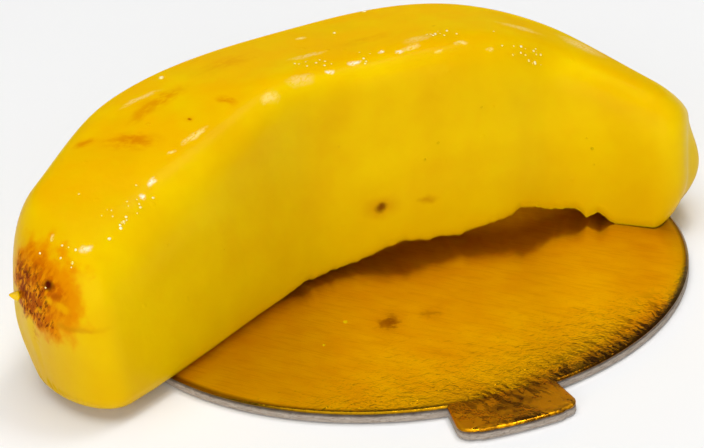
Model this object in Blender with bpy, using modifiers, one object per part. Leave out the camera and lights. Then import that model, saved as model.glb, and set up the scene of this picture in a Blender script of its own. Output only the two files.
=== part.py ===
"""Banana-shaped mousse cake on a round gold-laminated cake board with a thumb tab.

The origin is the centre of the board's underside. +Z is up, the tab points to -Y,
and the cake lies roughly along X with its blunt painted tips at both ends.
Lengths below are in millimetres and are turned into metres by MM.
"""
import math

import bmesh
import bpy
import numpy as np

MM = 0.001

# Cake board
BOARD_RADIUS = 50.0
TAB_REACH = 8.0
TAB_ROOT_HALF_WIDTH = 8.9
TAB_TIP_HALF_WIDTH = 9.5
TAB_CORNER_RADIUS = 1.6
CARD_THICKNESS = 1.4
FILM_THICKNESS = 0.25
CONTACT_GAP = 0.25
RIM_POINTS = 112
CORNER_STEPS = 4
EDGE_ROUNDING = 0.1

# Cake body: one moulded piece, lofted along a curved centre line.
# Centre line on the board: share of the way from the left tip to the right tip, then x and y in mm
CENTRE_LINE = (
    (0.00, -57.4, -13.0),
    (0.25, -30.4, 8.4),
    (0.50, -4.3, 18.0),
    (0.75, 30.2, 15.8),
    (1.00, 49.7, 0.7),
)
# Sections: share of the way, then in mm the half width, the reach up from the centre
# and the centre's height over the base, then how square the section is, and last the
# direction in which its top face looks, which leans to the front at the left tip
SECTIONS = (
    (0.00, 13.5, 15.9, 13.0, 4.3, 108.0),
    (0.15, 16.4, 15.4, 18.9, 5.0, 98.0),
    (0.32, 16.5, 16.0, 20.5, 6.8, 88.0),
    (0.50, 17.5, 15.5, 20.5, 7.0, 88.0),
    (0.68, 17.8, 16.3, 19.3, 5.8, 86.0),
    (0.85, 12.7, 15.9, 12.8, 4.4, 80.0),
    (1.00, 10.2, 16.4, 6.6, 4.0, 78.0),
)
# Directions in which the section's other faces look, from the back over the top
BACK_FACE = 15.0
FRONT_FACE = 175.0
UNDER_FACE = 270.0
BACK_UNDERCUT_FACE = -35.0
BACK_UNDERCUT_REACH = 1.08
REACH_DOWN = 22.0
# The blunt tips aren't cut square to the centre line: mm along it for each mm across it
LEFT_TIP_SLANT = 0.42
RIGHT_TIP_SLANT = -0.40
LEFT_SLANT_SHARE = 0.22
RIGHT_SLANT_SHARE = 0.20
# Tips in mm: reach beyond the last section, narrowing of the half width, lowering of the top,
# shift of the end face towards the back, and dome of the end face
LEFT_TIP = (8.5, 9.1, 6.5, 4.4, 0.3)
RIGHT_TIP = (6.5, 3.6, 3.2, 1.4, 1.9)
# The foot of a tip reaches less far: share of the reach it gives up, height in mm it fades over
LEFT_TIP_TUCK = (0.1, 2.0)
RIGHT_TIP_TUCK = (0.6, 9.0)
# The glazed skirt stands clear of the board along the front: share of the way, lift in mm
SKIRT_LIFT = (
    (0.00, 0.0), (0.24, 0.0), (0.30, 1.2), (0.37, 1.0), (0.43, 1.2), (0.48, 1.8), (0.53, 3.3),
    (0.58, 2.6), (0.62, 2.1), (0.67, 3.0), (0.71, 3.6), (0.73, 4.6), (0.77, 4.0), (0.82, 3.0),
    (0.87, 2.3), (0.91, 1.2), (0.93, 0.0), (1.00, 0.0),
)
SKIRT_DEPTH = 6.0
SKIRT_SLOPE = 4.0
BODY_RINGS = 44
TIP_ROUNDING_RINGS = 5
TIP_FLAT_RINGS = 4
SECTION_POINTS = 46

FILM_TOP = CARD_THICKNESS + CONTACT_GAP + FILM_THICKNESS
CAKE_BASE = FILM_TOP + CONTACT_GAP


def clear_scene():
    for old in list(bpy.data.objects):
        bpy.data.objects.remove(old, do_unlink=True)


def make_material(name, color, roughness, metallic):
    material = bpy.data.materials.new(name)
    material.use_nodes = True
    shader = material.node_tree.nodes["Principled BSDF"]
    shader.inputs["Base Color"].default_value = (*color, 1.0)
    shader.inputs["Roughness"].default_value = roughness
    shader.inputs["Metallic"].default_value = metallic
    return material


def natural_spline(knots, values, at):
    """Smooth curve through each column of values, free at both ends."""
    count = len(knots)
    step = np.diff(knots)
    matrix = np.eye(count)
    right = np.zeros((count, values.shape[1]))
    for i in range(1, count - 1):
        matrix[i, i - 1] = step[i - 1]
        matrix[i, i] = 2.0 * (step[i - 1] + step[i])
        matrix[i, i + 1] = step[i]
        slope_after = (values[i + 1] - values[i]) / step[i]
        slope_before = (values[i] - values[i - 1]) / step[i - 1]
        right[i] = 6.0 * (slope_after - slope_before)
    bend = np.linalg.solve(matrix, right)
    i = np.clip(np.searchsorted(knots, at, side="right") - 1, 0, count - 2)
    before = ((knots[i + 1] - at) / step[i])[:, None]
    after = ((at - knots[i]) / step[i])[:, None]
    sixth = (step[i] ** 2 / 6.0)[:, None]
    line = before * values[i] + after * values[i + 1]
    return line + ((before ** 3 - before) * bend[i] + (after ** 3 - after) * bend[i + 1]) * sixth


def section_outline(row, narrowing, lowering, lift):
    """Rounded five-sided section as distances towards the back and heights over the base."""
    half_width, up, centre, squareness, top_face = row
    angle = np.linspace(0.0, 2.0 * math.pi, SECTION_POINTS, endpoint=False)
    narrow = half_width - narrowing
    faces = (
        (BACK_FACE, narrow),
        (top_face, up - lowering),
        (FRONT_FACE, narrow),
        (UNDER_FACE, REACH_DOWN),
        (BACK_UNDERCUT_FACE, BACK_UNDERCUT_REACH * narrow),
    )
    total = np.zeros_like(angle)
    for direction, reach in faces:
        toward = np.cos(angle - math.radians(direction)) / reach
        total += np.maximum(toward, 0.0) ** squareness
    radius = total ** (-1.0 / squareness)
    across = radius * np.cos(angle)
    height = centre + radius * np.sin(angle)
    skirt = np.clip((-across - (half_width - SKIRT_DEPTH)) / SKIRT_SLOPE, 0.0, 1.0)
    skirt = skirt * skirt * (3.0 - 2.0 * skirt)
    return across, np.maximum(height, lift * skirt)


def slant_at(share):
    """How far the rings lean along the centre line, fading away from each tip."""
    left = np.clip(1.0 - share / LEFT_SLANT_SHARE, 0.0, 1.0)
    right = np.clip(1.0 - (1.0 - share) / RIGHT_SLANT_SHARE, 0.0, 1.0)
    left_slant = LEFT_TIP_SLANT * left * left * (3.0 - 2.0 * left)
    right_slant = RIGHT_TIP_SLANT * right * right * (3.0 - 2.0 * right)
    return left_slant + right_slant


def place_ring(centre, along, slant, offset, across, height):
    """Points of a section standing across the centre line, shifted along it by offset."""
    sideways = np.array((-along[1], along[0]))
    ring = np.zeros((len(across), 3))
    ring[:, :2] = centre + np.outer(offset + across * slant, along) + np.outer(across, sideways)
    ring[:, 2] = height + CAKE_BASE
    return ring


def foot_share(height, tuck):
    """Share of the tip's reach that is kept at each height."""
    return 1.0 - tuck[0] * np.clip(1.0 - height / tuck[1], 0.0, 1.0) ** 2


def tip_rings(row, before, centre, along, slant, sign, tip, tuck):
    """Rings that carry the last section on, round its edge and close it with a slight dome.

    Before is the section's row one millimetre earlier, so the tip goes on without a kink.
    """
    reach, narrowing, lowering, shift, dome = tip
    rings = []
    for turn in np.linspace(0.0, math.pi / 2.0, TIP_ROUNDING_RINGS + 1)[1:]:
        fall = 1.0 - math.cos(turn)
        ahead = reach * math.sin(turn)
        shape = row + (row - before) * ahead
        across, height = section_outline(shape, narrowing * fall, lowering * fall, 0.0)
        across += shift * fall
        kept = foot_share(height, tuck)
        rings.append(place_ring(centre, along, slant, sign * ahead * kept, across, height))
    middle = (across.max() + across.min()) / 2.0
    middle_height = (height.max() + height.min()) / 2.0
    for share in np.linspace(1.0, 0.0, TIP_FLAT_RINGS + 1)[1:]:
        small_across = middle + (across - middle) * share
        small_height = middle_height + (height - middle_height) * share
        kept = foot_share(small_height, tuck)
        offset = sign * (reach * kept + dome * (1.0 - share ** 2) ** 2)
        rings.append(place_ring(centre, along, slant, offset, small_across, small_height))
    return rings


def cake_rings():
    """All rings from the left tip's point over the body to the right tip's point."""
    share = np.linspace(0.0, 1.0, BODY_RINGS)
    line = np.array(CENTRE_LINE)
    centres = natural_spline(line[:, 0], line[:, 1:], share)
    along = np.gradient(centres, share, axis=0)
    along /= np.hypot(along[:, 0], along[:, 1])[:, None]
    table = np.array(SECTIONS)
    rows = natural_spline(table[:, 0], table[:, 1:], share)
    lift_table = np.array(SKIRT_LIFT)
    lifts = np.interp(share, lift_table[:, 0], lift_table[:, 1])
    slants = slant_at(share)
    left_step = np.linalg.norm(centres[1] - centres[0])
    left_before = rows[0] + (rows[1] - rows[0]) / left_step
    right_step = np.linalg.norm(centres[-1] - centres[-2])
    right_before = rows[-1] + (rows[-2] - rows[-1]) / right_step
    rings = tip_rings(
        rows[0], left_before, centres[0], along[0], slants[0], -1.0, LEFT_TIP, LEFT_TIP_TUCK
    )
    rings.reverse()
    for i in range(BODY_RINGS):
        across, height = section_outline(rows[i], 0.0, 0.0, lifts[i])
        rings.append(place_ring(centres[i], along[i], slants[i], 0.0, across, height))
    rings += tip_rings(
        rows[-1], right_before, centres[-1], along[-1], slants[-1], 1.0, RIGHT_TIP, RIGHT_TIP_TUCK
    )
    return rings


def make_cake(collection, material):
    rings = cake_rings()
    mesh_data = bmesh.new()
    left_pole = mesh_data.verts.new(rings[0].mean(axis=0) * MM)
    loops = [[mesh_data.verts.new(point * MM) for point in ring] for ring in rings[1:-1]]
    right_pole = mesh_data.verts.new(rings[-1].mean(axis=0) * MM)
    for loop, following in zip(loops, loops[1:]):
        for j in range(SECTION_POINTS):
            k = (j + 1) % SECTION_POINTS
            mesh_data.faces.new((loop[j], following[j], following[k], loop[k]))
    for j in range(SECTION_POINTS):
        k = (j + 1) % SECTION_POINTS
        mesh_data.faces.new((left_pole, loops[0][j], loops[0][k]))
        mesh_data.faces.new((right_pole, loops[-1][k], loops[-1][j]))
    bmesh.ops.recalc_face_normals(mesh_data, faces=mesh_data.faces)
    mesh = bpy.data.meshes.new("dessert_body")
    mesh_data.to_mesh(mesh)
    mesh_data.free()
    mesh.shade_smooth()
    mesh.materials.append(material)
    cake = bpy.data.objects.new("dessert_body", mesh)
    collection.objects.link(cake)
    return cake


def corner_arc(before, corner, after, radius):
    """Points that round one corner of an outline."""
    corner = np.array(corner)
    start = np.array(before) - corner
    end = np.array(after) - corner
    start /= np.linalg.norm(start)
    end /= np.linalg.norm(end)
    half = math.acos(float(np.dot(start, end))) / 2.0
    reach = radius / math.tan(half)
    middle = start + end
    middle /= np.linalg.norm(middle)
    centre = corner + middle * radius / math.sin(half)
    first = corner + start * reach - centre
    last = corner + end * reach - centre
    points = []
    for share in np.linspace(0.0, 1.0, CORNER_STEPS + 1):
        spoke = first * (1.0 - share) + last * share
        spoke *= radius / np.linalg.norm(spoke)
        points.append(tuple(centre + spoke))
    return points


def board_outline():
    """Round board outline with the flared thumb tab at -Y, counter-clockwise."""
    root_angle = math.asin(TAB_ROOT_HALF_WIDTH / BOARD_RADIUS)
    tip_radius = BOARD_RADIUS + TAB_REACH
    tip_angle = math.asin(TAB_TIP_HALF_WIDTH / tip_radius)
    start = -math.pi / 2.0 + root_angle
    points = []
    for angle in np.linspace(start, start + 2.0 * math.pi - 2.0 * root_angle, RIM_POINTS):
        points.append((BOARD_RADIUS * math.cos(angle), BOARD_RADIUS * math.sin(angle)))
    root_left = points[-1]
    root_right = points[0]
    tip_left = (-TAB_TIP_HALF_WIDTH, -tip_radius * math.cos(tip_angle))
    tip_right = (TAB_TIP_HALF_WIDTH, tip_left[1])
    tip_middle = (0.0, -tip_radius)
    points += corner_arc(root_left, tip_left, tip_middle, TAB_CORNER_RADIUS)
    points.append(tip_middle)
    points += corner_arc(tip_middle, tip_right, root_right, TAB_CORNER_RADIUS)
    return points


def make_sheet(name, collection, material, bottom, thickness):
    """Flat sheet of the board's outline with lightly rounded edges."""
    outline = board_outline()
    curve = bpy.data.curves.new(name, "CURVE")
    curve.dimensions = "2D"
    curve.fill_mode = "BOTH"
    curve.extrude = thickness / 2.0 * MM
    spline = curve.splines.new("POLY")
    spline.points.add(len(outline) - 1)
    for point, (x, y) in zip(spline.points, outline):
        point.co = (x * MM, y * MM, 0.0, 1.0)
    spline.use_cyclic_u = True
    curve.materials.append(material)
    sheet = bpy.data.objects.new(name, curve)
    sheet.location.z = (bottom + thickness / 2.0) * MM
    collection.objects.link(sheet)
    weld = sheet.modifiers.new("join_edges", "WELD")
    weld.merge_threshold = 0.00001
    bevel = sheet.modifiers.new("soft_edges", "BEVEL")
    bevel.width = EDGE_ROUNDING * MM
    bevel.segments = 1
    bevel.limit_method = "ANGLE"
    bevel.angle_limit = math.radians(60.0)
    return sheet


def main():
    clear_scene()
    collection = bpy.data.collections.new("banana_shaped_mousse_cake")
    bpy.context.scene.collection.children.link(collection)
    glaze = make_material("glaze", (0.84, 0.53, 0.0), 0.25, 0.0)
    greyboard = make_material("greyboard", (0.42, 0.36, 0.31), 0.9, 0.0)
    gold_film = make_material("gold_film", (0.80, 0.42, 0.03), 0.25, 1.0)
    make_sheet("board_card", collection, greyboard, 0.0, CARD_THICKNESS)
    make_sheet("board_foil", collection, gold_film, CARD_THICKNESS + CONTACT_GAP, FILM_THICKNESS)
    make_cake(collection, glaze)


main()
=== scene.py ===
import math

import bmesh
import bpy
import numpy as np
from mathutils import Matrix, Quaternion, Vector, noise


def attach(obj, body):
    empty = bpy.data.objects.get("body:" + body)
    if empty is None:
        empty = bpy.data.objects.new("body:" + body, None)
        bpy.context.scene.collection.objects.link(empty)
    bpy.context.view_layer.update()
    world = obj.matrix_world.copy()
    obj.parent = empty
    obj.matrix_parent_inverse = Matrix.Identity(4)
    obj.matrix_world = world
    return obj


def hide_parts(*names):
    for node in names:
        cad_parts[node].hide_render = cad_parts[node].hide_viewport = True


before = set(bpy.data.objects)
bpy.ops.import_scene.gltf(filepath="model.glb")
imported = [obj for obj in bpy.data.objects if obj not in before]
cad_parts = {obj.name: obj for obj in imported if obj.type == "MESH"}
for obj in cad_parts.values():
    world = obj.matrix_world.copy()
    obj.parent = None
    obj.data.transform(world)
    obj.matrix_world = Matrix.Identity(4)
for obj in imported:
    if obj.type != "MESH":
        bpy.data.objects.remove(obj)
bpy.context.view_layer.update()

# A banana-shaped mousse cake under yellow glaze, on a round gold-laminated cake board.
# Lengths in the shape code are millimetres; MM turns them into metres.
MM = 0.001

# Board
BOARD_RADIUS = 50.0
TAB_REACH = 8.0
TAB_ROOT_HALF_WIDTH = 8.9
TAB_TIP_HALF_WIDTH = 9.5
TAB_CORNER = 2.4
DISC_STEPS = 400
TAB_SIDE_STEPS = 16
TAB_CORNER_STEPS = 7
TAB_EDGE_STEPS = 24
CARD_TOP = 1.55
FOIL_TOP = 1.9
# The film is rolled down at the rim: narrow all round, wide and deep to the right of the tab
NARROW_ROLL = (1.1, 0.07)
WIDE_ROLL = (2.8, 0.20)
WIDE_ROLL_HEADING = -58.0
WIDE_ROLL_SPREAD = 30.0
WIDE_ROLL_FULL = 1.35
LIP_WIDTH = 0.45
LIP_DROP = 0.16
TAB_DROOP = 0.10
TAB_DROOP_START = 3.0
TAB_DROOP_LENGTH = 9.0
FOIL_THICKNESS = 0.16
# Insets of the film's loops: first, last, how many
FOIL_EDGE_LOOPS = (0.0, 0.5, 8)
FOIL_FIELD_LOOPS = (0.75, 7.0, 24)
RIM_CLEARANCE = 0.55

# Cake: centre line on the board (share of the way, x, y)
CENTRE_LINE = (
    (0.00, -57.4, -13.0),
    (0.25, -30.4, 8.4),
    (0.50, -4.3, 18.0),
    (0.75, 30.2, 15.8),
    (1.00, 49.7, 0.7),
)
# Sections: share of the way, half width, reach up, centre height, squareness, top direction
SECTIONS = (
    (0.00, 13.5, 15.9, 13.0, 4.3, 108.0),
    (0.15, 16.4, 15.4, 18.9, 5.0, 98.0),
    (0.32, 16.5, 16.0, 20.5, 6.8, 88.0),
    (0.50, 17.5, 15.5, 20.5, 7.0, 88.0),
    (0.68, 17.8, 16.3, 19.3, 5.8, 86.0),
    (0.85, 12.7, 15.9, 12.8, 4.4, 80.0),
    (1.00, 10.2, 16.4, 6.6, 4.0, 78.0),
)
# The five faces of a section, by direction in degrees
BACK_FACE = 15.0
FRONT_FACE = 175.0
UNDER_FACE = 270.0
BACK_UNDERCUT_FACE = -35.0
BACK_UNDERCUT_REACH = 1.08
REACH_DOWN = 22.0
LEFT_TIP_SLANT = 0.42
RIGHT_TIP_SLANT = -0.40
LEFT_SLANT_SHARE = 0.22
RIGHT_SLANT_SHARE = 0.20
# Tips: reach beyond the last section, narrowing, lowering, shift towards the back, dome
LEFT_TIP = (8.5, 9.1, 6.5, 4.4, 0.3)
RIGHT_TIP = (6.5, 3.6, 3.2, 1.4, 1.9)
# Lower edge of the glaze along the front: share of the way, lift over the foil
SKIRT_LIFT = (
    (0.00, 0.0), (0.24, 0.0), (0.30, 1.2), (0.37, 1.0), (0.43, 1.2), (0.48, 1.8), (0.53, 3.3),
    (0.58, 2.6), (0.62, 2.1), (0.67, 3.0), (0.71, 3.6), (0.73, 4.6), (0.77, 4.0), (0.82, 3.0),
    (0.86, 2.6), (0.872, 1.5), (0.88, 0.9), (0.888, 1.4), (0.90, 1.9), (0.915, 1.2),
    (0.93, 0.0), (1.00, 0.0),
)
SKIRT_DEPTH = 11.0
SKIRT_SLOPE = 1.2
# That edge is ragged: height, waves along the cake, place in the noise.
# The waves fade out where the glaze meets the film.
SKIRT_WAVES = ((0.35, 34.0, 3.1, 0.7), (0.30, 90.0, 7.4, 2.2))
SKIRT_WAVE_FADE = 0.8
CAKE_GAP = 0.05
# The glaze turns in under its lower edge, more so below the right tip
FOOT_HEIGHT = 2.2
FOOT_TUCK = 0.9
LEFT_TIP_TUCK = (0.1, 2.0)
RIGHT_TIP_TUCK = (0.6, 9.0)
BODY_RINGS = 300
TIP_ROUNDING_RINGS = 14
TIP_FLAT_RINGS = 20
SECTION_POINTS = 220

# Small peak of glaze on the left tip
NUB_PLACE = (-65.9, -12.6, 17.2)
NUB_DIRECTION = (-0.92, 0.05, 0.38)
# Its outline: way out and radius; then its ends, its oval and its faces round
NUB_PROFILE = (
    (0.0, 1.00), (0.3, 0.85), (0.6, 0.68), (0.9, 0.50), (1.15, 0.34), (1.32, 0.20), (1.4, 0.10),
)
NUB_ENDS = (-0.6, 1.42)
NUB_OVAL = (1.15, 0.85)
NUB_TURNS = 20
# Corners of the patch of film that the crumbs of glaze lie on
CRUMB_BED = (
    (-30.0, -22.0, FOIL_TOP), (-17.0, -28.0, FOIL_TOP),
    (-12.0, -16.0, FOIL_TOP), (-22.0, -11.0, FOIL_TOP),
)
SOWING_INPUTS = (
    "Drops per Square Metre", "Smallest Radius", "Largest Radius",
    "Flatness", "Clump Scale", "Clump Threshold", "Seed",
)
# Film wrinkles, and the dark strokes of painted reflection at the rim, run this many degrees from +X
WRINKLE_TURN = -50.0
RIM_STROKE_TURN = -74.0
# Turns of the brush strokes on the left tip, about X, Y and Z
STROKE_LEAN = (0.0, math.radians(37.0), math.radians(-57.0))

# Camera
CAMERA_PLACE = (-90.0, -295.5, 157.5)
CAMERA_AIM = (-2.2, 18.0, 1.9)
CAMERA_ROLL = -5.4
CAMERA_LENS = 102.1

# Lights: name, place, aim, width, height (metres), watts
LIGHTS = (
    ("key", (0.30, 0.15, 0.95), (0.0, 0.0, 0.0), 0.25, 0.25, 2.2),
    ("top_softbox", (-0.1, -0.1, 1.3), (0.0, 0.0, 0.0), 1.2, 1.2, 10.0),
    ("front_fill", (-0.5, -1.35, 0.50), (0.0, 0.0, 0.02), 2.2, 0.9, 16.5),
    ("back_wall", (0.35, 1.3, 0.39), (0.35, 0.0, 0.39), 3.0, 0.78, 5.0),
)


# Colours and nodes

def linear(hex_color):
    """sRGB hex to the linear RGBA that shaders take."""
    values = []
    for start in (1, 3, 5):
        channel = int(hex_color[start:start + 2], 16) / 255.0
        if channel <= 0.04045:
            values.append(channel / 12.92)
        else:
            values.append(((channel + 0.055) / 1.055) ** 2.4)
    return (*values, 1.0)


def add(tree, kind, inputs=None, **settings):
    """Adds a node, sets its properties, and sets or links each named input."""
    made = tree.nodes.new(kind)
    for name, value in settings.items():
        setattr(made, name, value)
    for name, value in (inputs or {}).items():
        socket = made.inputs[name]
        if isinstance(value, bpy.types.NodeSocket):
            tree.links.new(value, socket)
        else:
            socket.default_value = value
    return made


def new_material(name):
    material = bpy.data.materials.new(name)
    material.use_nodes = True
    tree = material.node_tree
    tree.nodes.clear()
    shader = tree.nodes.new("ShaderNodeBsdfPrincipled")
    output = tree.nodes.new("ShaderNodeOutputMaterial")
    tree.links.new(shader.outputs["BSDF"], output.inputs["Surface"])
    return material, tree, shader


# Mesh helpers

def natural_spline(knots, values, at):
    """Smooth curve through each column of values, free at both ends."""
    count = len(knots)
    step = np.diff(knots)
    matrix = np.eye(count)
    right = np.zeros((count, values.shape[1]))
    for i in range(1, count - 1):
        matrix[i, i - 1] = step[i - 1]
        matrix[i, i] = 2.0 * (step[i - 1] + step[i])
        matrix[i, i + 1] = step[i]
        slope_after = (values[i + 1] - values[i]) / step[i]
        slope_before = (values[i] - values[i - 1]) / step[i - 1]
        right[i] = 6.0 * (slope_after - slope_before)
    bend = np.linalg.solve(matrix, right)
    i = np.clip(np.searchsorted(knots, at, side="right") - 1, 0, count - 2)
    before = ((knots[i + 1] - at) / step[i])[:, None]
    after = ((at - knots[i]) / step[i])[:, None]
    sixth = (step[i] ** 2 / 6.0)[:, None]
    line = before * values[i] + after * values[i + 1]
    return line + ((before ** 3 - before) * bend[i] + (after ** 3 - after) * bend[i + 1]) * sixth


def mesh_object(name, points, faces, material):
    """Smooth-shaded mesh object at the origin; points in millimetres."""
    mesh = bpy.data.meshes.new(name)
    mesh.from_pydata([tuple(p * MM) for p in points], [], faces)
    mesh.validate()
    mesh.shade_smooth()
    mesh.materials.append(material)
    made = bpy.data.objects.new(name, mesh)
    bpy.context.scene.collection.objects.link(made)
    return made


def smooth_step(value):
    value = np.clip(value, 0.0, 1.0)
    return value * value * (3.0 - 2.0 * value)


# Glazed cake body

def section_outline(row, narrowing, lowering, lift):
    half_width, up, centre, squareness, top_face = row
    angle = np.linspace(0.0, 2.0 * math.pi, SECTION_POINTS, endpoint=False)
    narrow = half_width - narrowing
    faces = (
        (BACK_FACE, narrow),
        (top_face, up - lowering),
        (FRONT_FACE, narrow),
        (UNDER_FACE, REACH_DOWN),
        (BACK_UNDERCUT_FACE, BACK_UNDERCUT_REACH * narrow),
    )
    total = np.zeros_like(angle)
    for direction, reach in faces:
        toward = np.cos(angle - math.radians(direction)) / reach
        total += np.maximum(toward, 0.0) ** squareness
    radius = total ** (-1.0 / squareness)
    across = radius * np.cos(angle)
    height = centre + radius * np.sin(angle)
    skirt = smooth_step((-across - (half_width - SKIRT_DEPTH)) / SKIRT_SLOPE)
    height = np.maximum(height, lift * skirt)
    foot = np.clip(1.0 - (height - lift * skirt) / FOOT_HEIGHT, 0.0, 1.0)
    across -= np.clip(across / narrow, -1.0, 1.0) * FOOT_TUCK * foot ** 2
    return across, height


def slant_at(share):
    left = smooth_step(1.0 - share / LEFT_SLANT_SHARE)
    right = smooth_step(1.0 - (1.0 - share) / RIGHT_SLANT_SHARE)
    return LEFT_TIP_SLANT * left + RIGHT_TIP_SLANT * right


def place_ring(centre, along, slant, offset, across, height):
    sideways = np.array((-along[1], along[0]))
    ring = np.zeros((len(across), 3))
    ahead = (offset + across * slant) * np.ones(len(across))
    ring[:, :2] = centre + np.outer(ahead, along) + np.outer(across, sideways)
    ring[:, 2] = height + FOIL_TOP + CAKE_GAP
    return ring


def foot_share(height, tuck):
    """Share of the tip's reach that is kept at each height."""
    return 1.0 - tuck[0] * np.clip(1.0 - height / tuck[1], 0.0, 1.0) ** 2


def tip_rings(row, before, centre, along, slant, sign, tip, tuck):
    reach, narrowing, lowering, shift, dome = tip
    rings = []
    for turn in np.linspace(0.0, math.pi / 2.0, TIP_ROUNDING_RINGS + 1)[1:]:
        fall = 1.0 - math.cos(turn)
        ahead = reach * math.sin(turn)
        shape = row + (row - before) * ahead
        across, height = section_outline(shape, narrowing * fall, lowering * fall, 0.0)
        across += shift * fall
        kept = foot_share(height, tuck)
        rings.append(place_ring(centre, along, slant, sign * ahead * kept, across, height))
    middle = (across.max() + across.min()) / 2.0
    middle_height = (height.max() + height.min()) / 2.0
    for share in np.linspace(1.0, 0.0, TIP_FLAT_RINGS + 1)[1:]:
        small_across = middle + (across - middle) * share
        small_height = middle_height + (height - middle_height) * share
        kept = foot_share(small_height, tuck)
        offset = sign * (reach * kept + dome * (1.0 - share ** 2) ** 2)
        rings.append(place_ring(centre, along, slant, offset, small_across, small_height))
    return rings


def cake_rings():
    share = np.linspace(0.0, 1.0, BODY_RINGS)
    line = np.array(CENTRE_LINE)
    centres = natural_spline(line[:, 0], line[:, 1:], share)
    along = np.gradient(centres, share, axis=0)
    along /= np.hypot(along[:, 0], along[:, 1])[:, None]
    table = np.array(SECTIONS)
    rows = natural_spline(table[:, 0], table[:, 1:], share)
    lift_table = np.array(SKIRT_LIFT)
    lifts = np.interp(share, lift_table[:, 0], lift_table[:, 1])
    ragged = np.array([
        sum(size * noise.noise(Vector((s * waves, y, z))) for size, waves, y, z in SKIRT_WAVES)
        for s in share
    ])
    lifts = np.maximum(lifts + ragged * smooth_step(lifts / SKIRT_WAVE_FADE), 0.0)
    slants = slant_at(share)
    left_step = np.linalg.norm(centres[1] - centres[0])
    left_before = rows[0] + (rows[1] - rows[0]) / left_step
    right_step = np.linalg.norm(centres[-1] - centres[-2])
    right_before = rows[-1] + (rows[-2] - rows[-1]) / right_step
    rings = tip_rings(
        rows[0], left_before, centres[0], along[0], slants[0], -1.0, LEFT_TIP, LEFT_TIP_TUCK
    )
    rings.reverse()
    for i in range(BODY_RINGS):
        across, height = section_outline(rows[i], 0.0, 0.0, lifts[i])
        rings.append(place_ring(centres[i], along[i], slants[i], 0.0, across, height))
    rings += tip_rings(
        rows[-1], right_before, centres[-1], along[-1], slants[-1], 1.0, RIGHT_TIP, RIGHT_TIP_TUCK
    )
    return np.array(rings)


def make_cake(rings, material):
    loops = rings[1:-1]
    count = len(loops)
    left_pole = rings[0].mean(axis=0)[None]
    right_pole = rings[-1].mean(axis=0)[None]
    points = np.concatenate((left_pole, loops.reshape(-1, 3), right_pole))
    faces = []
    for i in range(count - 1):
        for j in range(SECTION_POINTS):
            k = (j + 1) % SECTION_POINTS
            first = 1 + i * SECTION_POINTS
            second = first + SECTION_POINTS
            faces.append((first + j, first + k, second + k, second + j))
    last = 1 + (count - 1) * SECTION_POINTS
    pole = len(points) - 1
    for j in range(SECTION_POINTS):
        k = (j + 1) % SECTION_POINTS
        faces.append((0, 1 + k, 1 + j))
        faces.append((pole, last + j, last + k))
    cake = mesh_object("glazed_banana", points, faces, material)
    work = bmesh.new()
    work.from_mesh(cake.data)
    bmesh.ops.recalc_face_normals(work, faces=work.faces)
    work.to_mesh(cake.data)
    work.free()
    return cake


# Board

def board_outline(inset):
    """Board outline with the flared tab at -Y, moved inwards by inset, counter-clockwise."""
    radius = BOARD_RADIUS - inset
    root_angle = math.asin((TAB_ROOT_HALF_WIDTH - inset) / radius)
    tip_radius = BOARD_RADIUS + TAB_REACH - inset
    start = -math.pi / 2.0 + root_angle
    points = []
    for angle in np.linspace(start, start + 2.0 * math.pi - 2.0 * root_angle, DISC_STEPS):
        points.append((radius * math.cos(angle), radius * math.sin(angle)))
    tip_half = TAB_TIP_HALF_WIDTH - inset
    root = points[-1]
    tip_angle = math.asin(tip_half / tip_radius)
    tip = (-tip_half, -tip_radius * math.cos(tip_angle))
    outline = points
    side = [(root[0] + (tip[0] - root[0]) * t, root[1] + (tip[1] + TAB_CORNER - root[1]) * t)
            for t in np.linspace(0.0, 1.0, TAB_SIDE_STEPS)[1:]]
    turn = [(tip[0] + TAB_CORNER * (1 - math.cos(a)), tip[1] + TAB_CORNER * (1 - math.sin(a)))
            for a in np.linspace(0.0, math.pi / 2.0, TAB_CORNER_STEPS)[1:]]
    across_start = turn[-1][0]
    edge = []
    for x in np.linspace(across_start, -across_start, TAB_EDGE_STEPS)[1:-1]:
        edge.append((x, -math.sqrt(tip_radius ** 2 - x ** 2)))
    left = side + turn
    right = [(-x, y) for x, y in reversed(left)]
    outline = outline + left + edge + right
    return np.array(outline)


def foil_height(distance, x, y):
    """Height of the foil at a distance from the rim, with the rolled edge and the drooping tab."""
    heading = np.degrees(np.arctan2(y, x))
    wide = smooth_step(WIDE_ROLL_FULL - np.abs(heading - WIDE_ROLL_HEADING) / WIDE_ROLL_SPREAD)
    width = NARROW_ROLL[0] + (WIDE_ROLL[0] - NARROW_ROLL[0]) * wide
    drop = NARROW_ROLL[1] + (WIDE_ROLL[1] - NARROW_ROLL[1]) * wide
    roll = drop * np.clip(1.0 - distance / width, 0.0, 1.0) ** 2
    lip = LIP_DROP * np.clip(1.0 - distance / LIP_WIDTH, 0.0, 1.0) ** 2
    droop = TAB_DROOP * smooth_step((-y - BOARD_RADIUS + TAB_DROOP_START) / TAB_DROOP_LENGTH)
    return FOIL_TOP - roll - lip - droop


def stack_loops(loops):
    """Points and faces of stacked outlines, the first and last closed by one flat face."""
    count = len(loops[0])
    faces = []
    for i in range(len(loops) - 1):
        first = i * count
        second = first + count
        for j in range(count):
            k = (j + 1) % count
            faces.append((first + j, first + k, second + k, second + j))
    faces.append(tuple(range(count))[::-1])
    top = (len(loops) - 1) * count
    faces.append(tuple(range(top, top + count)))
    return np.concatenate(loops), faces


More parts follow.
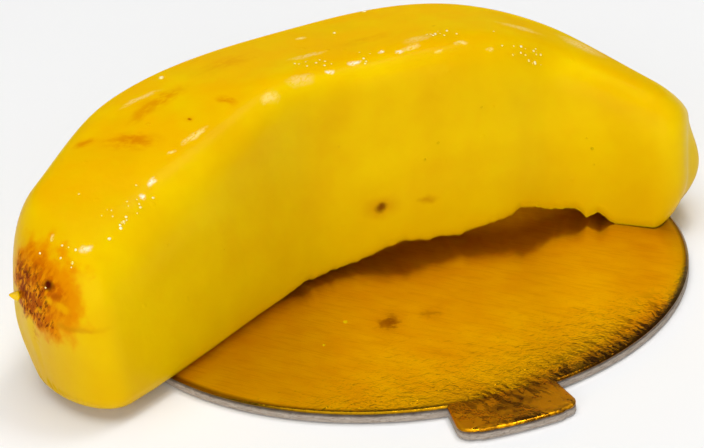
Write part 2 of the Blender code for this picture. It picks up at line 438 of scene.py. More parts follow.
def make_foil(material):
    insets = np.concatenate((np.linspace(*FOIL_EDGE_LOOPS), np.linspace(*FOIL_FIELD_LOOPS)))
    upper = []
    for inset in insets:
        outline = board_outline(inset)
        heights = foil_height(inset, outline[:, 0], outline[:, 1])
        upper.append(np.column_stack((outline, heights)))
    lower = [np.column_stack((loop[:, :2], loop[:, 2] - FOIL_THICKNESS)) for loop in upper]
    return mesh_object("gold_foil", *stack_loops(lower[::-1] + upper), material)


def make_card(material):
    # Inset and height of each loop, from the underside over the cut edge to under the film
    edge = (
        (0.5, 0.0), (0.12, 0.03), (0.0, 0.15), (0.0, 0.4), (0.0, 0.7), (0.0, 0.9),
        (0.02, CARD_TOP - RIM_CLEARANCE), (0.5, CARD_TOP - RIM_CLEARANCE), (7.0, CARD_TOP),
    )
    loops = []
    for inset, height in edge:
        outline = board_outline(inset)
        loops.append(np.column_stack((outline, np.full(len(outline), height))))
    return mesh_object("greyboard", *stack_loops(loops), material)


# Small pieces scattered by geometry nodes

def scatter_tree(name):
    """Node tree that sows flattened drops on a bed and returns only the drops."""
    tree = bpy.data.node_groups.new(name, "GeometryNodeTree")
    tree.interface.new_socket(name="Bed", in_out="INPUT", socket_type="NodeSocketGeometry")
    for label, kind in (
        ("Drops per Square Metre", "NodeSocketFloat"),
        ("Smallest Radius", "NodeSocketFloat"),
        ("Largest Radius", "NodeSocketFloat"),
        ("Flatness", "NodeSocketFloat"),
        ("Clump Scale", "NodeSocketFloat"),
        ("Clump Threshold", "NodeSocketFloat"),
        ("Seed", "NodeSocketInt"),
        ("Drop Material", "NodeSocketMaterial"),
    ):
        tree.interface.new_socket(name=label, in_out="INPUT", socket_type=kind)
    tree.interface.new_socket(name="Drops", in_out="OUTPUT", socket_type="NodeSocketGeometry")
    entry = tree.nodes.new("NodeGroupInput").outputs
    clump = add(tree, "ShaderNodeTexNoise", {"Scale": entry["Clump Scale"], "Detail": 1.0})
    allowed = add(
        tree, "FunctionNodeCompare", {0: clump.outputs[0], 1: entry["Clump Threshold"]},
        data_type="FLOAT", operation="GREATER_THAN",
    )
    sown = add(tree, "GeometryNodeDistributePointsOnFaces", {
        "Mesh": entry["Bed"], "Selection": allowed.outputs[0],
        "Density": entry["Drops per Square Metre"], "Seed": entry["Seed"],
    }, distribute_method="RANDOM")
    radius = add(tree, "FunctionNodeRandomValue", {
        2: entry["Smallest Radius"], 3: entry["Largest Radius"], "Seed": entry["Seed"],
    }, data_type="FLOAT")
    stretch = add(tree, "FunctionNodeRandomValue", {2: 0.75, 3: 1.25, "Seed": 5}, data_type="FLOAT")
    wide = add(tree, "ShaderNodeMath", {
        0: radius.outputs[1], 1: stretch.outputs[1],
    }, operation="MULTIPLY")
    high = add(tree, "ShaderNodeMath", {
        0: radius.outputs[1], 1: entry["Flatness"],
    }, operation="MULTIPLY")
    size = add(tree, "ShaderNodeCombineXYZ", {
        "X": wide.outputs[0], "Y": radius.outputs[1], "Z": high.outputs[0],
    })
    ball = add(tree, "GeometryNodeMeshIcoSphere", {"Radius": 1.0, "Subdivisions": 3})
    placed = add(tree, "GeometryNodeInstanceOnPoints", {
        "Points": sown.outputs["Points"], "Instance": ball.outputs["Mesh"],
        "Rotation": sown.outputs["Rotation"], "Scale": size.outputs[0],
    })
    real = add(tree, "GeometryNodeRealizeInstances", {0: placed.outputs[0]})
    smooth = add(tree, "GeometryNodeSetShadeSmooth", {0: real.outputs[0]})
    dressed = add(tree, "GeometryNodeSetMaterial", {
        "Geometry": smooth.outputs[0], "Material": entry["Drop Material"],
    })
    add(tree, "NodeGroupOutput", {0: dressed.outputs[0]})
    return tree


def scatter(name, tree, points, faces, material, values):
    """Sows drops on a bed given in millimetres; values are the tree's inputs by name."""
    bed = mesh_object(name, points, faces, material)
    modifier = bed.modifiers.new("sow", "NODES")
    modifier.node_group = tree
    values = dict(values, **{"Drop Material": material})
    for item in tree.interface.items_tree:
        if item.name in values:
            modifier[item.identifier] = values[item.name]
    depsgraph = bpy.context.evaluated_depsgraph_get()
    drops = bpy.data.meshes.new_from_object(bed.evaluated_get(depsgraph))
    bed.modifiers.remove(modifier)
    old = bed.data
    bed.data = drops
    drops.name = name
    bpy.data.meshes.remove(old)
    return bed


def strip_of(rings, first_ring, last_ring, first_degree, last_degree):
    """Part of the cake's surface between two rings and two section angles."""
    columns = range(
        int(first_degree / 360.0 * SECTION_POINTS), int(last_degree / 360.0 * SECTION_POINTS)
    )
    part = rings[first_ring:last_ring][:, list(columns)]
    across = part.shape[1]
    faces = []
    for i in range(part.shape[0] - 1):
        for j in range(across - 1):
            first = i * across + j
            faces.append((first, first + 1, first + across + 1, first + across))
    return part.reshape(-1, 3), faces


def make_nub(material):
    """Little peak of set glaze pulled out of the left tip."""
    turns = NUB_TURNS
    points = [Vector((NUB_ENDS[0], 0.0, 0.0))]
    for out, radius in NUB_PROFILE:
        for k in range(turns):
            angle = 2.0 * math.pi * k / turns
            wide = radius * NUB_OVAL[0] * math.cos(angle)
            high = radius * NUB_OVAL[1] * math.sin(angle)
            points.append(Vector((out, wide, high)))
    points.append(Vector((NUB_ENDS[1], 0.0, 0.0)))
    aim = Vector(NUB_DIRECTION).to_track_quat("X", "Z")
    points = [np.array(aim @ point + Vector(NUB_PLACE)) for point in points]
    faces = []
    for i in range(len(NUB_PROFILE) - 1):
        for k in range(turns):
            n = (k + 1) % turns
            first = 1 + i * turns
            second = first + turns
            faces.append((first + k, first + n, second + n, second + k))
    last = 1 + (len(NUB_PROFILE) - 1) * turns
    for k in range(turns):
        n = (k + 1) % turns
        faces.append((0, 1 + n, 1 + k))
        faces.append((len(points) - 1, last + k, last + n))
    return mesh_object("glaze_nub", points, faces, material)


# Materials

def soft_spot(tree, point, centre, half_size, turn, core):
    """Mask of 1 in the core of an ellipsoid (mm, turned about Z by degrees), 0 at its rim."""
    local = add(tree, "ShaderNodeMapping", {
        "Vector": point,
        "Location": Vector(centre) * MM,
        "Rotation": (0.0, 0.0, math.radians(turn)),
        "Scale": Vector(half_size) * MM,
    }, vector_type="TEXTURE")
    distance = add(tree, "ShaderNodeVectorMath", {0: local.outputs[0]}, operation="LENGTH")
    fade = add(tree, "ShaderNodeMapRange", {
        "Value": distance.outputs["Value"], "From Min": 1.0, "From Max": core,
    }, interpolation_type="SMOOTHSTEP")
    return fade.outputs[0]


def grain(tree, point, size, turn, low, high, detail=3.0):
    """Noise with cells of the given size (mm, turned about Z), spread from low..high to 0..1."""
    local = add(tree, "ShaderNodeMapping", {
        "Vector": point,
        "Rotation": (0.0, 0.0, math.radians(turn)),
        "Scale": Vector(size) * MM,
    }, vector_type="TEXTURE")
    cells = add(tree, "ShaderNodeTexNoise", {
        "Vector": local.outputs[0], "Scale": 1.0, "Detail": detail, "Roughness": 0.55,
    })
    spread = add(tree, "ShaderNodeMapRange", {
        "Value": cells.outputs[0], "From Min": low, "From Max": high,
    })
    return spread.outputs[0]


def stroke_grain(tree, point, size, low, high):
    """Short brush strokes leaning like a slash on the left tip; size in mm, the last one long."""
    lean = add(tree, "ShaderNodeMapping", {
        "Vector": point, "Rotation": STROKE_LEAN, "Scale": Vector(size) * MM,
    }, vector_type="TEXTURE")
    cells = add(tree, "ShaderNodeTexNoise", {
        "Vector": lean.outputs[0], "Scale": 1.0, "Detail": 2.0, "Roughness": 0.5,
    })
    spread = add(tree, "ShaderNodeMapRange", {
        "Value": cells.outputs[0], "From Min": low, "From Max": high,
    })
    return spread.outputs[0]


def times(tree, first, second):
    return add(tree, "ShaderNodeMath", {0: first, 1: second}, operation="MULTIPLY").outputs[0]


def tinted(tree, base, hex_color, weight):
    """Base colour carried towards another colour by a weight."""
    mix = add(tree, "ShaderNodeMix", {
        "Factor": weight, 6: base, 7: linear(hex_color),
    }, data_type="RGBA")
    return mix.outputs[2]


def glaze_material():
    # Yellow mirror glaze: gelatine, condensed milk and cocoa butter poured over frozen mousse.
    # It gives the eye an even, slightly see-through yellow with a wet, pimpled gloss.
    material, tree, shader = new_material("yellow_mirror_glaze")
    place = add(tree, "ShaderNodeTexCoord").outputs["Object"]
    wander = add(tree, "ShaderNodeTexNoise", {"Vector": place, "Scale": 420.0, "Detail": 3.0})
    shift = add(tree, "ShaderNodeVectorMath", {
        0: wander.outputs["Color"], 1: (0.5, 0.5, 0.5),
    }, operation="SUBTRACT")
    ragged = add(tree, "ShaderNodeVectorMath", {
        0: shift.outputs[0], 1: (0.007, 0.007, 0.007), 2: place,
    }, operation="MULTIPLY_ADD").outputs[0]
    frayed = add(tree, "ShaderNodeVectorMath", {
        0: shift.outputs[0], 1: (0.0018, 0.0018, 0.0018), 2: place,
    }, operation="MULTIPLY_ADD").outputs[0]
    surface = add(tree, "ShaderNodeNewGeometry")
    facing = add(tree, "ShaderNodeSeparateXYZ", {0: surface.outputs["Normal"]})

    # Ground colour: warmer orange in patches on the upward-facing top; darker low down, which is
    # painted shade
    clouds = grain(tree, place, (14.0, 14.0, 14.0), 0.0, 0.35, 0.75)
    color = tinted(tree, linear("#EBC500"), "#E2B000", clouds)
    top = add(tree, "ShaderNodeMapRange", {
        "Value": facing.outputs["Z"], "From Min": 0.80, "From Max": 0.99, "To Max": 0.70,
    }).outputs[0]
    warm_top_patches = grain(tree, place, (9.0, 9.0, 9.0), 0.0, 0.15, 0.6)
    color = tinted(tree, color, "#EDA800", times(tree, top, warm_top_patches))
    height = add(tree, "ShaderNodeSeparateXYZ", {0: place}).outputs["Z"]
    # Painted shade: the glaze darkens towards the foot of the cake
    low = add(tree, "ShaderNodeMapRange", {
        "Value": height, "From Min": 0.020, "From Max": 0.002, "To Max": 0.55,
    }).outputs[0]
    color = tinted(tree, color, "#D0A200", low)

    # Brown cocoa brushed on top in smears
    smears = (
        ((-43.2, -3.4, 35.4), (6.2, 3.2, 3.5), -22.0, 1.00),
        ((-50.1, -0.4, 35.2), (3.2, 1.6, 2.5), 0.0, 0.90),
        ((-35.8, 6.0, 37.4), (8.0, 2.8, 3.5), 30.0, 0.75),
        ((-40.0, 3.0, 37.0), (5.0, 2.0, 3.0), 40.0, 0.60),
        ((-26.3, 0.4, 37.5), (3.0, 1.3, 2.5), -50.0, 0.90),
        ((-23.0, 14.0, 38.4), (9.0, 4.0, 3.0), 25.0, 0.35),
        ((2.0, 13.0, 38.6), (7.0, 3.0, 3.0), 5.0, 0.30),
        ((44.0, 9.0, 28.0), (7.0, 2.5, 6.0), -40.0, 0.40),
    )
    for centre, half_size, turn, strength in smears:
        mask = soft_spot(tree, frayed, centre, half_size, turn, 0.1)
        mask = times(tree, mask, grain(tree, place, (1.8, 1.0, 1.8), turn, 0.28, 0.58))
        color = tinted(tree, color, "#D88400", times(tree, mask, strength))

    # Left tip: a brushed orange-brown patch with dark flecks, a core spot and lighter smears
    patch = soft_spot(tree, ragged, (-61.8, -19.0, 20.3), (8.5, 11.0, 9.7), 0.0, 0.62)
    color = tinted(tree, color, "#E08A00", times(tree, patch, 0.95))
    brushed = stroke_grain(tree, place, (0.7, 0.7, 2.2), 0.36, 0.58)
    inner = soft_spot(tree, ragged, (-62.8, -18.6, 20.0), (6.5, 8.5, 8.6), 0.0, 0.5)
    color = tinted(tree, color, "#CC6A00", times(tree, inner, brushed))
    darker = soft_spot(tree, ragged, (-64.2, -17.0, 19.0), (4.6, 6.4, 7.0), 0.0, 0.5)
    color = tinted(tree, color, "#A84E00", times(tree, times(tree, darker, brushed), 0.9))
    strokes = stroke_grain(tree, place, (0.40, 0.40, 1.1), 0.52, 0.60)
    color = tinted(tree, color, "#5E2000", times(tree, times(tree, darker, strokes), 0.85))
    rim = soft_spot(tree, ragged, (-64.8, -15.8, 20.8), (2.4, 3.2, 5.2), 0.0, 0.3)
    color = tinted(tree, color, "#7A2E00", times(tree, times(tree, rim, brushed), 0.8))
    core = soft_spot(tree, frayed, (-61.9, -21.2, 22.2), (1.7, 1.7, 1.3), 0.0, 0.2)
    color = tinted(tree, color, "#541200", core)
    beside = soft_spot(tree, frayed, (-61.0, -22.6, 20.8), (1.7, 1.7, 0.9), 0.0, 0.1)
    color = tinted(tree, color, "#B05400", times(tree, beside, 0.85))
    lighter_smears = (
        ((-62.0, -21.6, 19.6), (1.4, 1.4, 1.1), 0.85),
        ((-60.6, -23.7, 19.0), (1.9, 1.9, 1.2), 0.85),
        ((-63.4, -19.2, 17.2), (1.2, 1.2, 1.0), 0.80),
    )
    for centre, half_size, strength in lighter_smears:
        mask = soft_spot(tree, frayed, centre, half_size, 0.0, 0.3)
        color = tinted(tree, color, "#E8A800", times(tree, mask, strength))
    low_flecks = soft_spot(tree, ragged, (-62.8, -20.6, 15.8), (2.4, 2.6, 2.6), 0.0, 0.3)
    color = tinted(tree, color, "#7A2E00", times(tree, times(tree, low_flecks, strokes), 0.95))
    tail = soft_spot(tree, frayed, (-59.0, -24.8, 15.8), (6.5, 6.5, 0.8), 0.0, 0.1)
    color = tinted(tree, color, "#CC8600", times(tree, tail, 0.6))

    # Right tip: a brown sliver in the end face
    sliver = soft_spot(tree, frayed, (57.6, -1.0, 15.0), (2.8, 5.5, 6.0), 0.0, 0.1)
    color = tinted(tree, color, "#A85A00", times(tree, sliver, 0.9))
    # Ripe spots
    spots = (
        ((-1.9, -0.4, 12.9), (4.6, 3.4, 2.8), "#CC8C00", 0.70),
        ((-1.9, -0.4, 12.9), (1.7, 2.2, 1.2), "#7A3E00", 0.95),
        ((6.4, 0.2, 12.6), (2.6, 2.4, 1.1), "#C48600", 0.75),
        ((-33.1, -1.9, 36.4), (1.3, 1.3, 1.2), "#E29C00", 0.60),
        ((-33.1, -1.9, 36.4), (0.55, 0.55, 0.7), "#B04C00", 0.95),
        ((-52.0, -20.0, 33.0), (0.6, 0.6, 0.9), "#C07A08", 0.6),
        ((14.0, 13.0, 38.0), (0.6, 0.5, 0.9), "#B06A08", 0.7),
    )
    for centre, half_size, hex_color, strength in spots:
        mask = soft_spot(tree, frayed, centre, half_size, 10.0, 0.1)
        color = tinted(tree, color, hex_color, times(tree, mask, strength))
    # Pale froth along the crest, partly tiny bubbles and partly painted highlight; pale streaks on the
    # top are painted sheen, the reflection of the back wall
    white, cream, painted_sheen_tone = "#FFF6D8", "#FBE084", "#F0CA70"
    froth_and_painted_highlights = (
        ((-44.8, -15.6, 30.9), (0.7, 0.7, 1.1), 0.0, white, 1.00),
        ((-42.5, -13.4, 32.0), (1.8, 0.6, 0.9), 55.0, white, 0.90),
        ((-38.1, -8.5, 34.1), (1.0, 0.5, 0.7), 30.0, cream, 0.85),
        ((-33.4, -6.0, 35.2), (3.9, 0.8, 1.5), 34.0, cream, 0.85),
        ((-19.3, -0.9, 36.8), (2.3, 1.0, 1.6), 25.0, cream, 0.60),
        ((-13.1, 2.2, 37.7), (3.0, 1.4, 1.8), 12.0, painted_sheen_tone, 0.85),
        ((-7.6, 3.7, 37.6), (1.3, 0.6, 0.8), 0.0, white, 1.00),
        ((-2.8, 5.0, 37.7), (1.7, 0.6, 1.0), 10.0, white, 0.85),
        ((2.4, 6.4, 38.1), (0.6, 0.6, 0.6), 0.0, white, 1.00),
        ((5.3, 5.2, 37.9), (1.1, 0.6, 0.8), 0.0, white, 1.00),
        ((7.6, 5.9, 38.1), (2.2, 1.1, 1.2), 10.0, cream, 0.85),
        ((11.6, 3.7, 37.3), (1.0, 0.5, 0.8), 0.0, cream, 0.85),
        ((15.9, 4.5, 37.7), (1.4, 0.5, 0.8), 5.0, cream, 0.80),
        ((20.7, 3.1, 35.8), (1.0, 0.5, 0.8), 0.0, cream, 0.65),
        ((-55.2, -22.4, 27.3), (1.4, 0.8, 0.9), 0.0, white, 0.80),
        ((-59.8, -18.3, 28.5), (0.6, 0.6, 0.5), 0.0, cream, 0.75),
        ((-39.0, 8.0, 37.5), (5.0, 1.0, 1.8), 20.0, painted_sheen_tone, 0.80),
        ((-9.4, 10.7, 38.3), (4.6, 1.1, 1.6), 14.0, painted_sheen_tone, 0.70),
        ((-7.5, 20.6, 37.9), (1.3, 1.0, 1.0), 0.0, cream, 0.80),
        ((9.7, 8.0, 38.5), (3.4, 1.4, 1.6), 5.0, painted_sheen_tone, 0.55),
        ((29.7, 11.6, 35.4), (6.5, 1.7, 2.6), -20.0, painted_sheen_tone, 0.60),
        ((40.5, 10.0, 30.4), (6.5, 3.4, 3.6), -38.0, painted_sheen_tone, 0.80),
    )
    streaky = grain(tree, place, (0.7, 0.4, 0.7), 30.0, 0.34, 0.52)
    # Each spot whitens the base colour: painted highlight and painted sheen
    for centre, half_size, turn, hex_color, strength in froth_and_painted_highlights:
        mask = soft_spot(tree, frayed, centre, half_size, turn, 0.2)
        color = tinted(tree, color, hex_color, times(tree, times(tree, mask, streaky), strength))
    tree.links.new(color, shader.inputs["Base Color"])

    # Relief: slow waves, sparse pimples and orange peel
    waves = add(tree, "ShaderNodeTexNoise", {"Vector": place, "Scale": 95.0, "Detail": 1.0})
    first = add(tree, "ShaderNodeBump", {
        "Height": waves.outputs[0], "Strength": 1.0, "Distance": 0.0005,
    })
    pimple_cells = add(tree, "ShaderNodeTexVoronoi", {
        "Vector": place, "Scale": 210.0, "Randomness": 1.0,
    })
    pimples = add(tree, "ShaderNodeMapRange", {
        "Value": pimple_cells.outputs["Distance"], "From Min": 0.13, "From Max": 0.02,
    }, interpolation_type="SMOOTHSTEP").outputs[0]
    pimples = times(tree, pimples, grain(tree, place, (9.0, 9.0, 9.0), 0.0, 0.48, 0.62))
    second = add(tree, "ShaderNodeBump", {
        "Height": pimples, "Strength": 0.8, "Distance": 0.00016, "Normal": first.outputs[0],
    })
    peel = add(tree, "ShaderNodeTexNoise", {"Vector": place, "Scale": 700.0, "Detail": 2.0})
    third = add(tree, "ShaderNodeBump", {
        "Height": peel.outputs[0], "Strength": 0.30, "Distance": 0.00010, "Normal": second.outputs[0],
    })
    tree.links.new(third.outputs[0], shader.inputs["Normal"])
    tree.links.new(third.outputs[0], shader.inputs["Coat Normal"])
    rough = add(tree, "ShaderNodeMapRange", {
        "Value": grain(tree, place, (6.0, 6.0, 6.0), 0.0, 0.3, 0.7), "To Min": 0.36, "To Max": 0.46,
    }).outputs[0]
    tree.links.new(rough, shader.inputs["Roughness"])
    gloss = add(tree, "ShaderNodeMapRange", {
        "Value": facing.outputs["Z"], "From Min": 0.30, "From Max": 0.85, "To Min": 0.20, "To Max": 0.0,
    }).outputs[0]
    unpainted = add(tree, "ShaderNodeMapRange", {
        "Value": patch, "To Min": 1.0, "To Max": 0.05,
    }).outputs[0]
    right_end = soft_spot(tree, place, (59.0, -2.0, 14.0), (7.0, 10.0, 17.0), 0.0, 0.2)
    dulled = add(tree, "ShaderNodeMapRange", {
        "Value": right_end, "To Min": 1.0, "To Max": 0.0,
    }).outputs[0]
    gloss = times(tree, times(tree, gloss, unpainted), dulled)
    tree.links.new(gloss, shader.inputs["Specular IOR Level"])
    shader.inputs["IOR"].default_value = 1.40
    shader.inputs["Specular Tint"].default_value = (1.0, 0.80, 0.12, 1.0)
    shader.inputs["Coat Weight"].default_value = 0.025
    shader.inputs["Coat Roughness"].default_value = 0.16
    shader.inputs["Coat IOR"].default_value = 1.38
    shader.inputs["Subsurface Weight"].default_value = 0.40
    shader.inputs["Subsurface Radius"].default_value = (1.0, 0.6, 0.1)
    shader.inputs["Subsurface Scale"].default_value = 0.003
    return material


def bubble_material():
    # Air bubbles set in the glaze under a clear gelatine skin.
    # Their pale base colour is partly the milky look of bubbles and partly painted highlight: pale
    # pin-point lights along the crest.
    material, tree, shader = new_material("glaze_bubble_painted_highlight")
    place = add(tree, "ShaderNodeTexCoord").outputs["Object"]
    tone = grain(tree, place, (0.8, 0.8, 0.8), 0.0, 0.38, 0.62)
    # Pale base colour: partly painted highlight
    tree.links.new(tinted(tree, linear("#FFF3B0"), "#F8D030", tone), shader.inputs["Base Color"])
    shader.inputs["Roughness"].default_value = 0.12
    shader.inputs["IOR"].default_value = 1.45
    shader.inputs["Coat Weight"].default_value = 1.0
    shader.inputs["Coat Roughness"].default_value = 0.05
    return material


def peak_material():
    # A thin peak pulled out of the glaze where it let go of the rack.
    # It gives the eye a clean, slightly see-through yellow point.
    material, tree, shader = new_material("drawn_out_glaze")
    place = add(tree, "ShaderNodeTexCoord").outputs["Object"]
    tone = grain(tree, place, (1.5, 1.5, 1.5), 0.0, 0.35, 0.65)
    tree.links.new(tinted(tree, linear("#EFC800"), "#E2B400", tone), shader.inputs["Base Color"])
    shader.inputs["Roughness"].default_value = 0.35
    shader.inputs["Specular IOR Level"].default_value = 0.25
    shader.inputs["Subsurface Weight"].default_value = 0.4
    shader.inputs["Subsurface Radius"].default_value = (1.0, 0.6, 0.1)
    shader.inputs["Subsurface Scale"].default_value = 0.001
    return material


def foil_material():
    # Gold metallized polyester film laminated on board, die-cut and handled.
    # It gives the eye a deep orange mirror with slanted wrinkles, scratches and a scuffed tab.
    material, tree, shader = new_material("gold_metallized_film")
    place = add(tree, "ShaderNodeTexCoord").outputs["Object"]
    wander = add(tree, "ShaderNodeTexNoise", {"Vector": place, "Scale": 600.0, "Detail": 3.0})
    shift = add(tree, "ShaderNodeVectorMath", {
        0: wander.outputs["Color"], 1: (0.5, 0.5, 0.5),
    }, operation="SUBTRACT")
    ragged = add(tree, "ShaderNodeVectorMath", {
        0: shift.outputs[0], 1: (0.006, 0.006, 0.006), 2: place,
    }, operation="MULTIPLY_ADD").outputs[0]
    frayed = add(tree, "ShaderNodeVectorMath", {
        0: shift.outputs[0], 1: (0.0016, 0.0016, 0.0016), 2: place,
    }, operation="MULTIPLY_ADD").outputs[0]
    scratches = grain(tree, place, (5.0, 0.35, 5.0), WRINKLE_TURN, 0.52, 0.62)
    blotches = grain(tree, place, (7.0, 4.0, 5.0), WRINKLE_TURN, 0.35, 0.70)

    color = tinted(tree, linear("#F6D60A"), "#EEC408", blotches)
    color = tinted(tree, color, "#C07C04", times(tree, scratches, 0.18))
    smudges = (
        ((-8.0, -20.2, 1.9), (2.2, 3.6, 2.0), 0.75),
        ((-1.1, -20.3, 1.9), (2.6, 2.0, 2.0), 0.45),
        ((21.0, -30.0, 1.9), (2.0, 1.0, 2.0), 0.35),
    )
    for centre, half_size, strength in smudges:
        mask = soft_spot(tree, ragged, centre, half_size, WRINKLE_TURN, 0.1)
        color = tinted(tree, color, "#9A5C04", times(tree, mask, strength))
    # Painted reflection of dark surroundings: the rolled rim and the tab turn browner, with dark
    # strokes in from the rim
    spread = add(tree, "ShaderNodeSeparateXYZ", {0: place})
    radius = add(tree, "ShaderNodeVectorMath", {0: place}, operation="LENGTH").outputs["Value"]
    # Painted reflection on the drooping tab starts at this line
    tab_reflection_line = add(tree, "ShaderNodeSeparateXYZ", {0: ragged}).outputs["Y"]
    tab_painted_reflection = add(tree, "ShaderNodeMapRange", {
        "Value": tab_reflection_line, "From Min": -0.0480, "From Max": -0.0515,
    }, interpolation_type="SMOOTHSTEP").outputs[0]
    near_rim = add(tree, "ShaderNodeMapRange", {
        "Value": radius, "From Min": 0.0455, "From Max": 0.0485,
    }).outputs[0]
    # Painted reflection: orange on the rolled rim to the right of the tab
    right_side = soft_spot(tree, place, (22.0, -46.0, 1.9), (24.0, 24.0, 24.0), 0.0, 0.5)
    rim_side = times(tree, near_rim, right_side)
    color = tinted(tree, color, "#E49A0C", times(tree, rim_side, 0.8))
    inward = add(tree, "ShaderNodeMapRange", {
        "Value": radius, "From Min": 0.0425, "From Max": 0.0490,
    }).outputs[0]
    # Painted reflection: dark strokes running in from the rim
    reflection_strokes = grain(tree, frayed, (3.4, 0.62, 3.4), RIM_STROKE_TURN, 0.50, 0.56)
    rim_painted_reflection = times(tree, times(tree, inward, right_side), reflection_strokes)
    color = tinted(tree, color, "#5A3202", times(tree, rim_painted_reflection, 0.95))
    # Painted reflection: a dark line where the film turns down at the edge
    edge_painted_reflection = add(tree, "ShaderNodeMapRange", {
        "Value": radius, "From Min": 0.0489, "From Max": 0.0496,
    }).outputs[0]
    color = tinted(tree, color, "#6E3E04", times(tree, edge_painted_reflection, 0.85))
    # Painted reflection: the tab turns more orange
    color = tinted(tree, color, "#DA940A", times(tree, tab_painted_reflection, 0.9))
    # Painted reflection: dark streaks at the tab's root
    root = soft_spot(tree, place, (1.0, -50.0, 1.9), (12.0, 4.2, 3.0), 0.0, 0.4)
    root_painted_reflection = times(tree, root, grain(tree, frayed, (3.0, 0.7, 3.0), RIM_STROKE_TURN, 0.48, 0.55))
    color = tinted(tree, color, "#6A4008", times(tree, root_painted_reflection, 0.9))
    # Painted reflection: a darker patch on the tab
    tab_reflection_patch = soft_spot(tree, ragged, (0.2, -53.2, 1.9), (5.0, 3.2, 3.0), 20.0, 0.40)
    color = tinted(tree, color, "#70460A", times(tree, tab_reflection_patch, 0.65))
    # Painted reflection: dark flecks along the tab's lip
    lip = add(tree, "ShaderNodeMapRange", {
        "Value": spread.outputs["Y"], "From Min": -0.0560, "From Max": -0.0572,
    }).outputs[0]
    lip_reflection_grain = grain(tree, frayed, (1.4, 1.4, 1.4), 0.0, 0.60, 0.46)
    color = tinted(tree, color, "#6E4406", times(tree, times(tree, lip, lip_reflection_grain), 0.9))
    tree.links.new(color, shader.inputs["Base Color"])

    front = add(tree, "ShaderNodeMapRange", {
        "Value": spread.outputs["Y"], "From Min": -0.018, "From Max": -0.044,
        "To Min": 0.20, "To Max": 1.0,
    }).outputs[0]
    wrinkles = grain(tree, ragged, (9.0, 1.3, 5.0), WRINKLE_TURN, 0.2, 0.8)
    first = add(tree, "ShaderNodeBump", {
        "Height": times(tree, wrinkles, front), "Strength": 1.0, "Distance": 0.00008,
    })
    fine = grain(tree, place, (3.0, 0.4, 3.0), WRINKLE_TURN, 0.2, 0.8)
    second = add(tree, "ShaderNodeBump", {
        "Height": times(tree, fine, front), "Strength": 1.0, "Distance": 0.000012,
        "Normal": first.outputs[0],
    })
    tree.links.new(second.outputs[0], shader.inputs["Normal"])
    tab = add(tree, "ShaderNodeMapRange", {
        "Value": spread.outputs["Y"], "From Min": -0.047, "From Max": -0.052,
    }).outputs[0]
    scuffed = times(tree, tab, grain(tree, ragged, (5.0, 2.5, 4.0), WRINKLE_TURN, 0.40, 0.55))
    rough = add(tree, "ShaderNodeMapRange", {
        "Value": scuffed, "To Min": 0.16, "To Max": 0.42,
    }).outputs[0]
    tree.links.new(rough, shader.inputs["Roughness"])
    shader.inputs["Metallic"].default_value = 1.0
    return material


def card_material():
    # Greyboard pressed from recycled paper, its die-cut edge left bare.
    # It gives the eye a dull grey-beige edge with pale and dark fibres lying flat.
    material, tree, shader = new_material("greyboard")
    place = add(tree, "ShaderNodeTexCoord").outputs["Object"]
    fibres = grain(tree, place, (1.6, 1.6, 0.18), 0.0, 0.30, 0.70)
    flecks = grain(tree, place, (0.5, 0.5, 0.25), 0.0, 0.55, 0.68)
    color = tinted(tree, linear("#BDB1A4"), "#9B8C7D", fibres)
    color = tinted(tree, color, "#6E6154", times(tree, flecks, 0.6))
    tree.links.new(color, shader.inputs["Base Color"])
    relief = add(tree, "ShaderNodeBump", {"Height": fibres, "Strength": 0.8, "Distance": 0.00012})
    tree.links.new(relief.outputs[0], shader.inputs["Normal"])
    shader.inputs["Roughness"].default_value = 0.93
    shader.inputs["Specular IOR Level"].default_value = 0.2
    return material


# Floor, lights, camera

def area_light(name, place, aim, size, size_y, power):
    data = bpy.data.lights.new(name, "AREA")
    data.shape = "RECTANGLE"
    data.size = size
    data.size_y = size_y
    data.energy = power
    light = bpy.data.objects.new(name, data)
    light.location = place
    direction = Vector(aim) - Vector(place)
    light.rotation_euler = direction.to_track_quat("-Z", "Y").to_euler()
    bpy.context.scene.collection.objects.link(light)
    return light


def make_setting():
    material, tree, shader = new_material("white_sweep")
    shader.inputs["Base Color"].default_value = (0.97, 0.97, 0.97, 1.0)
    shader.inputs["Roughness"].default_value = 0.9
    bpy.ops.mesh.primitive_plane_add(size=6.0, location=(0.0, 0.0, -0.0002))
    floor = bpy.context.object
    floor.name = "studio_floor"
    floor.data.materials.append(material)
    world = bpy.data.worlds.new("studio_world")
    bpy.context.scene.world = world
    world.use_nodes = True
    background = world.node_tree.nodes["Background"]
    background.inputs["Color"].default_value = (1.0, 1.0, 1.0, 1.0)
    background.inputs["Strength"].default_value = 0.12
    bpy.context.scene.view_settings.view_transform = "Standard"
    for light in LIGHTS:
        area_light(*light)


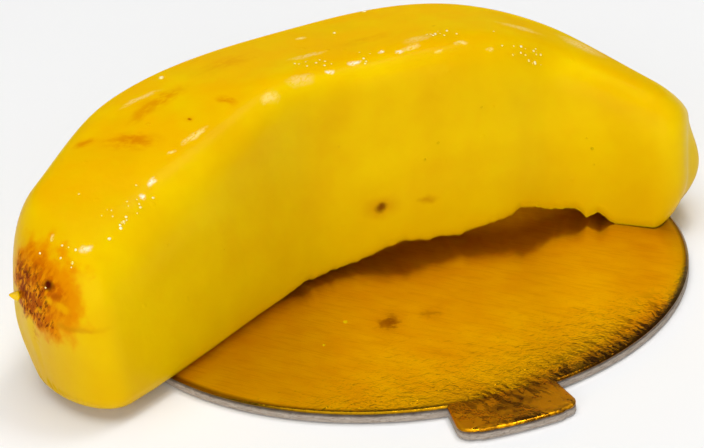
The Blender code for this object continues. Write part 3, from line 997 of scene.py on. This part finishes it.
def make_camera():
    data = bpy.data.cameras.new("photo_camera")
    data.lens = CAMERA_LENS
    data.sensor_width = 36.0
    data.sensor_fit = "HORIZONTAL"
    data.clip_start = 0.01
    camera = bpy.data.objects.new("photo_camera", data)
    place = Vector(CAMERA_PLACE) * MM
    direction = Vector(CAMERA_AIM) * MM - place
    turn = direction.to_track_quat("-Z", "Y")
    turn = turn @ Quaternion((0.0, 0.0, 1.0), math.radians(CAMERA_ROLL))
    camera.location = place
    camera.rotation_euler = turn.to_euler()
    bpy.context.scene.collection.objects.link(camera)
    bpy.context.scene.camera = camera


def main():
    make_camera()
    make_setting()
    glaze = glaze_material()
    bubble_highlight_material = bubble_material()
    rings = cake_rings()
    cake = make_cake(rings, glaze)
    nub = make_nub(peak_material())
    foil = make_foil(foil_material())
    card = make_card(card_material())
    sow = scatter_tree("sown_drops")
    first = TIP_ROUNDING_RINGS + TIP_FLAT_RINGS
    last = first + BODY_RINGS
    crumb_bed = (np.array(CRUMB_BED), [(0, 1, 2, 3)])
    # Bed and material of each sown piece, its drops per square metre and radii, and how they clump
    sowings = (
        ("crest_bubbles", strip_of(rings, first + 10, last - 60, 119.0, 136.0), bubble_highlight_material,
         420000.0, 0.00008, 0.00024, 0.40, 150.0, 0.56, 3),
        ("shoulder_bubbles", strip_of(rings, first - 10, first + 18, 92.0, 142.0), bubble_highlight_material,
         150000.0, 0.00008, 0.00026, 0.45, 220.0, 0.52, 11),
        ("top_bubbles", strip_of(rings, first + 5, last - 40, 50.0, 112.0), bubble_highlight_material,
         6000.0, 0.00018, 0.00055, 0.60, 60.0, 0.45, 8),
        ("side_pimples", strip_of(rings, first, last - 20, 150.0, 205.0), glaze,
         9000.0, 0.00012, 0.00028, 0.45, 90.0, 0.50, 21),
        ("glaze_crumbs", crumb_bed, glaze,
         60000.0, 0.00015, 0.00045, 0.60, 200.0, 0.55, 4),
    )
    sown = [
        scatter(name, sow, *bed, material, dict(zip(SOWING_INPUTS, values)))
        for name, bed, material, *values in sowings
    ]
    for piece, node_name, slot_name in (
        (cake, "dessert_body", "glaze"),
        (foil, "board_foil", "gold_film"),
        (card, "board_card", "greyboard"),
    ):
        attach(piece, "root")
        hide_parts(node_name)
    for piece in (nub, *sown):
        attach(piece, "root")


main()
